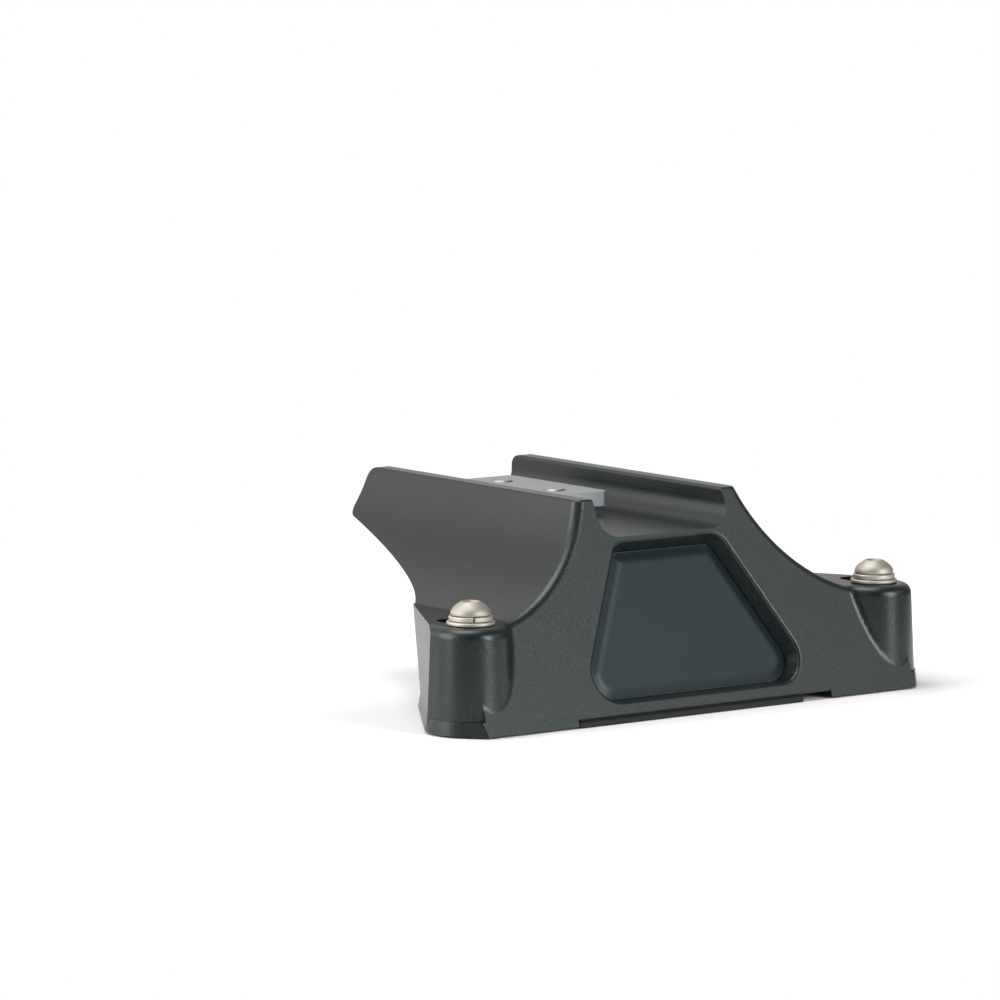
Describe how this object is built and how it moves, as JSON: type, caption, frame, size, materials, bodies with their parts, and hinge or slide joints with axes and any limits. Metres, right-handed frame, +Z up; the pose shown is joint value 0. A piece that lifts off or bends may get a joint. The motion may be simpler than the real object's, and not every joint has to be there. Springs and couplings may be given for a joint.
{
  "type": "roof bar foot",
  "caption": "Moulded foot that screws to a vehicle roof by slotted ears at its ends and carries a cross bar in a saddle on its arm, with a blank label on its leaning front.",
  "frame": {"origin": "midway between the two roof screws, on the underside of the base pad", "axes": "+X along the line of the roof screws, +Y along the bar towards the middle of the roof, +Z up"},
  "size_m": [0.1582, 0.1161, 0.056],
  "materials": {
    "leg_plastic": "fine-grained black moulding",
    "pad_rubber": "plain dull black",
    "label_gloss": "blank, domed and glossy",
    "stainless": "bright stainless steel",
    "zinc_steel": "zinc-plated steel"
  },
  "bodies": {
    "root": {"leg": "leg_plastic", "base_pad": "pad_rubber", "front_label": "label_gloss", "left_roof_screw": "stainless", "right_roof_screw": "stainless", "left_spring_washer": "stainless", "right_spring_washer": "stainless", "left_flat_washer": "stainless", "right_flat_washer": "stainless", "front_clamp_screw": "zinc_steel", "rear_clamp_screw": "zinc_steel", "front_clamp_washer": "zinc_steel", "rear_clamp_washer": "zinc_steel", "channel_nut": "zinc_steel"}
  },
  "joints": []
}
